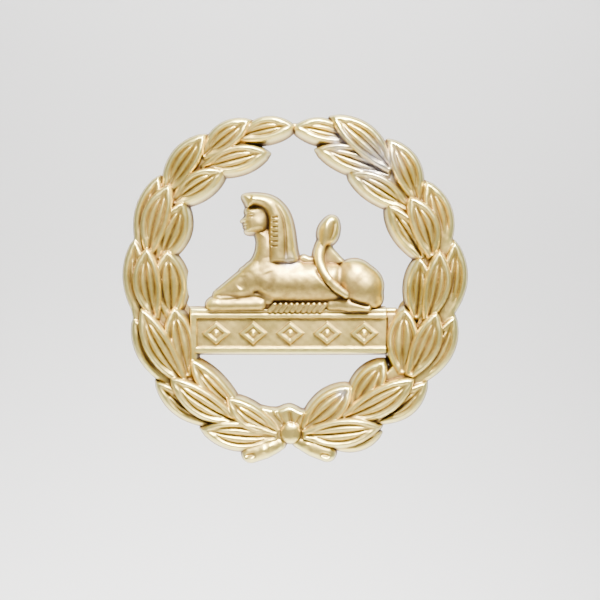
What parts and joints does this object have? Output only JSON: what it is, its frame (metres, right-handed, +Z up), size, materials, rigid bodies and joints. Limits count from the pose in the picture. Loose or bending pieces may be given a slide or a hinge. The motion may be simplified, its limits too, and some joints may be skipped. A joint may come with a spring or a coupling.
{
  "type": "cap badge",
  "caption": "Pierced die-struck brass cap badge: a lying sphinx on a tablet inside a laurel wreath, with wire lugs, a backing plate and a split pin behind.",
  "frame": {"origin": "midway between the two lugs, in the plane of the back rim that rests on the cloth", "axes": "+X to the viewer's right, +Z up as worn, +Y out of the back along the lugs; the face looks along -Y"},
  "size_m": [0.031, 0.0094, 0.0315],
  "materials": {
    "struck_brass": "satin, worn, brown in the hollows",
    "copper_wire": "satin",
    "solder": "dull",
    "plate_brass": "brushed",
    "pin_brass": "bright"
  },
  "bodies": {
    "badge": {"wreath_left_spray": "struck_brass", "wreath_right_spray": "struck_brass", "wreath_knot": "struck_brass", "tablet": "struck_brass", "sphinx": "struck_brass", "lug_left": "copper_wire", "lug_right": "copper_wire", "lug_left_solder": "solder", "lug_right_solder": "solder"},
    "plate": {"backing_plate": "plate_brass"},
    "pin": {"split_pin": "pin_brass"}
  },
  "joints": [
    {"name": "pin_slide", "type": "slide", "parent": "badge", "child": "pin", "axis": [1, 0, 0], "range_m": [0, 0.026]},
    {"name": "plate_slide", "type": "slide", "parent": "badge", "child": "plate", "axis": [0, 1, 0], "range_m": [-0.0029, 0]}
  ]
}
